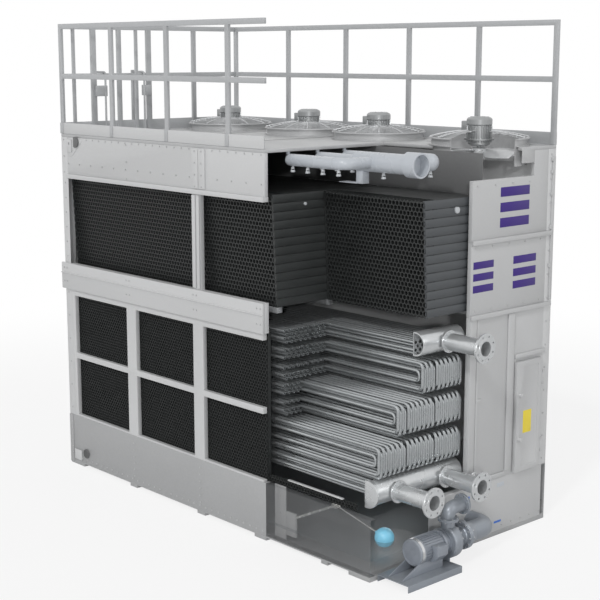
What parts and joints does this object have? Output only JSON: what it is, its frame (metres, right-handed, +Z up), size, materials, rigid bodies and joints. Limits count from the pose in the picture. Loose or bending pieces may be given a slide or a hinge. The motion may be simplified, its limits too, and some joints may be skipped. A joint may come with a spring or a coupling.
{
  "type": "closed-circuit cooling tower, corner cut away",
  "caption": "Closed-circuit cooling tower with a row of roof fans, tube coil, fill pack, basin and spray pump, one corner cut away.",
  "frame": {"origin": "centre of the tower's plan on the ground, on the middle runner under the basin", "axes": "+X along the long side to the pump end, -Y the air inlet side, +Y the plenum side under the fans, +Z up"},
  "size_m": [5.044, 2.37, 4.6],
  "materials": {
    "panel": "galvanised sheet, satin",
    "steel": "galvanised steel, satin",
    "rail": "galvanised section, satin",
    "screen": "matte black",
    "fill": "matte black",
    "tube": "satin tube",
    "plastic": "pale blue-grey pipe",
    "pump": "blue-grey paint",
    "float": "sky blue plastic",
    "brass": "brass",
    "clear": "clear panel"
  },
  "bodies": {
    "tower": {"basin_floor": "steel", "basin_front_panel": "steel", "basin_front_window": "clear", "basin_back_panel": "steel", "basin_left_panel": "steel", "basin_end_panel": "steel", "basin_end_window": "clear", "post_front_left": "steel", "post_back_left": "steel", "post_back_right": "steel", "inlet_frame": "panel", "inlet_screen_1": "screen", "inlet_screen_2": "screen", "inlet_screen_3": "screen", "belt_beam": "panel", "upper_frame": "panel", "upper_front_panel": "panel", "back_panel_lower": "panel", "back_panel_upper": "panel", "left_panel_lower": "panel", "left_panel_upper": "panel", "end_panel_lower": "panel", "end_panel_middle": "panel", "end_panel_top": "panel", "door_frame": "panel", "fan_deck": "panel", "plenum_wall": "steel", "fan_ring_1": "steel", "fan_ring_2": "steel", "fan_ring_3": "steel", "fan_ring_4": "steel", "fan_motor_1": "steel", "fan_motor_2": "steel", "fan_motor_3": "steel", "fan_motor_4": "steel", "railing_front": "rail", "railing_back": "rail", "railing_left": "rail", "ladder": "rail", "fill_left": "fill", "fill_right": "fill", "fill_bearers": "steel", "coil_bank_1": "tube", "coil_bank_2": "tube", "coil_bank_3": "tube", "header_upper": "tube", "header_lower": "tube", "spray_pipes": "plastic", "pump_base": "steel", "pump_motor": "pump", "pump_casing": "pump", "suction_pipe": "pump", "float_valve": "brass"},
    "rotor_1": {"fan_rotor_1": "steel"},
    "rotor_2": {"fan_rotor_2": "steel"},
    "rotor_3": {"fan_rotor_3": "steel"},
    "rotor_4": {"fan_rotor_4": "steel"},
    "door": {"access_door": "panel"},
    "float": {"float_arm": "float"}
  },
  "joints": [
    {"name": "fan_spin_1", "type": "hinge", "parent": "tower", "child": "rotor_1", "pos_m": [-1.755, 0.68, 3.4275], "axis": [0, 0, 1], "continuous": true},
    {"name": "fan_spin_2", "type": "hinge", "parent": "tower", "child": "rotor_2", "pos_m": [-0.495, 0.68, 3.4275], "axis": [0, 0, 1], "continuous": true},
    {"name": "fan_spin_3", "type": "hinge", "parent": "tower", "child": "rotor_3", "pos_m": [0.495, 0.68, 3.4275], "axis": [0, 0, 1], "continuous": true},
    {"name": "fan_spin_4", "type": "hinge", "parent": "tower", "child": "rotor_4", "pos_m": [1.755, 0.68, 3.4275], "axis": [0, 0, 1], "continuous": true},
    {"name": "door_hinge", "type": "hinge", "parent": "tower", "child": "door", "pos_m": [2.266, 1.045, 1.07], "axis": [0, 0, 1], "range_deg": [0, 105]},
    {"name": "float_swing", "type": "hinge", "parent": "tower", "child": "float", "pos_m": [1.38, -0.6865, 0.32], "axis": [0, 1, 0], "range_deg": [-18, 5]}
  ]
}
